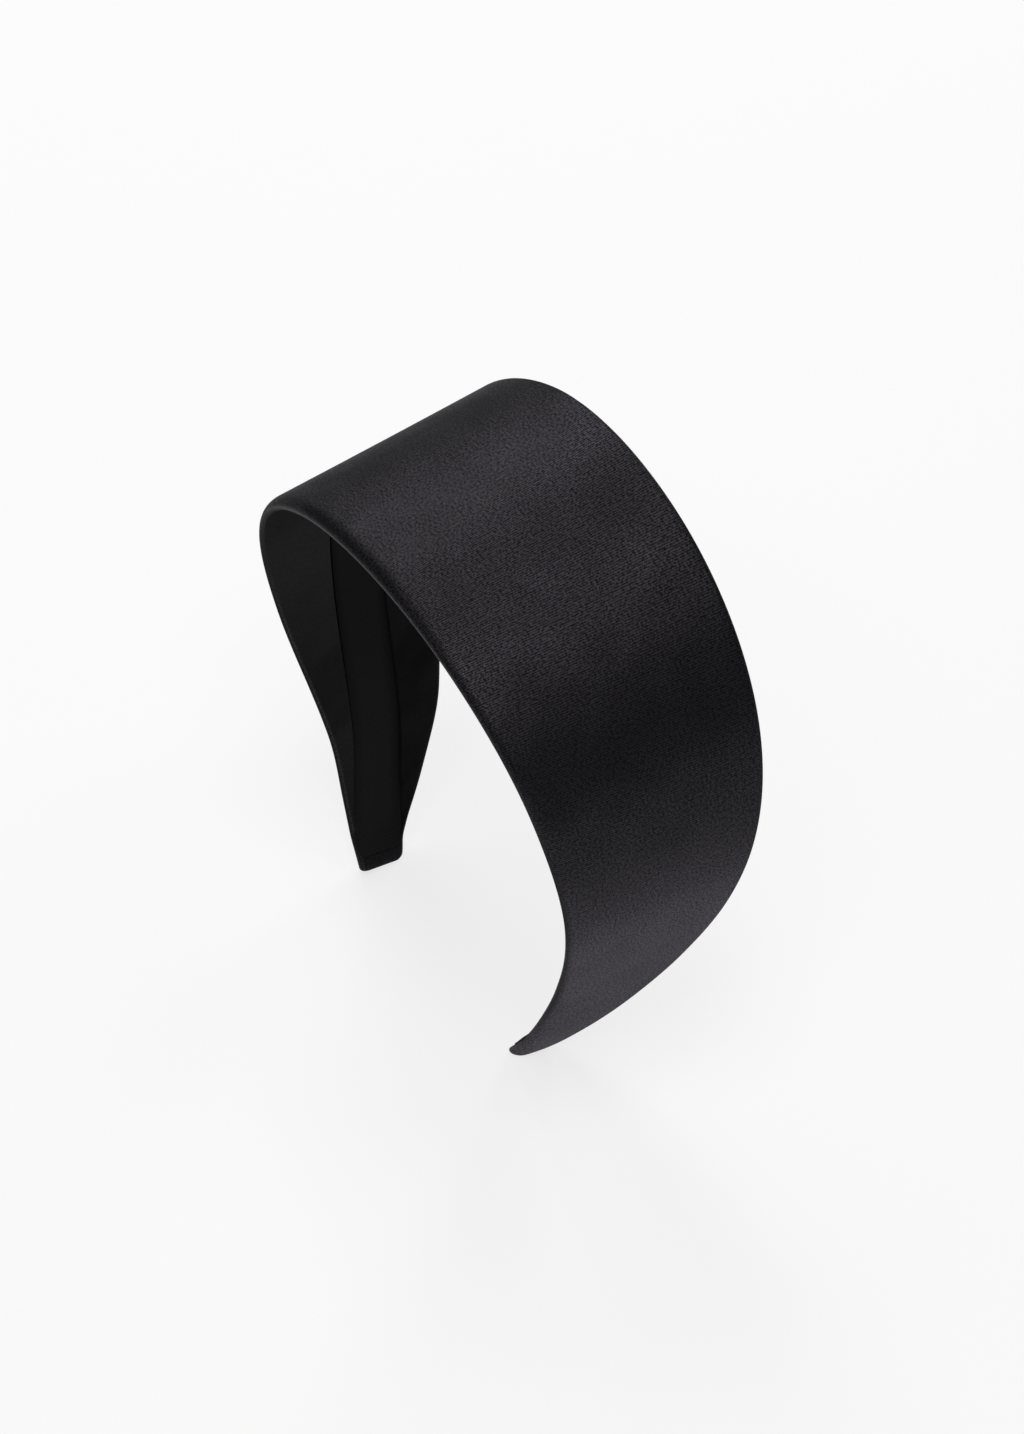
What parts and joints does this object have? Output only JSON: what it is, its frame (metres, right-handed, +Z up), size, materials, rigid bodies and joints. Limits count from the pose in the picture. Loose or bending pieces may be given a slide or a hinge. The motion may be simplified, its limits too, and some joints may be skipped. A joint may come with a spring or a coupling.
{
  "type": "headband",
  "caption": "Wide satin-covered headband: a stiff padded arch that tapers to two small tips, with a ribbon glued down the middle of its inside",
  "frame": {"origin": "the middle of the bounding box's base, on the floor that the two tips stand on", "axes": "+Z is up as the band stands on its tips; the wearer faces -Y, so the front edge is on the -Y side; X runs from tip to tip"},
  "size_m": [0.1418, 0.0682, 0.1583],
  "materials": {
    "black_satin": "charcoal black satin with a soft sheen",
    "black_ribbon": "matte black grosgrain"
  },
  "bodies": {
    "root": {"satin_band": "black_satin", "ribbon_lining": "black_ribbon"}
  },
  "joints": []
}
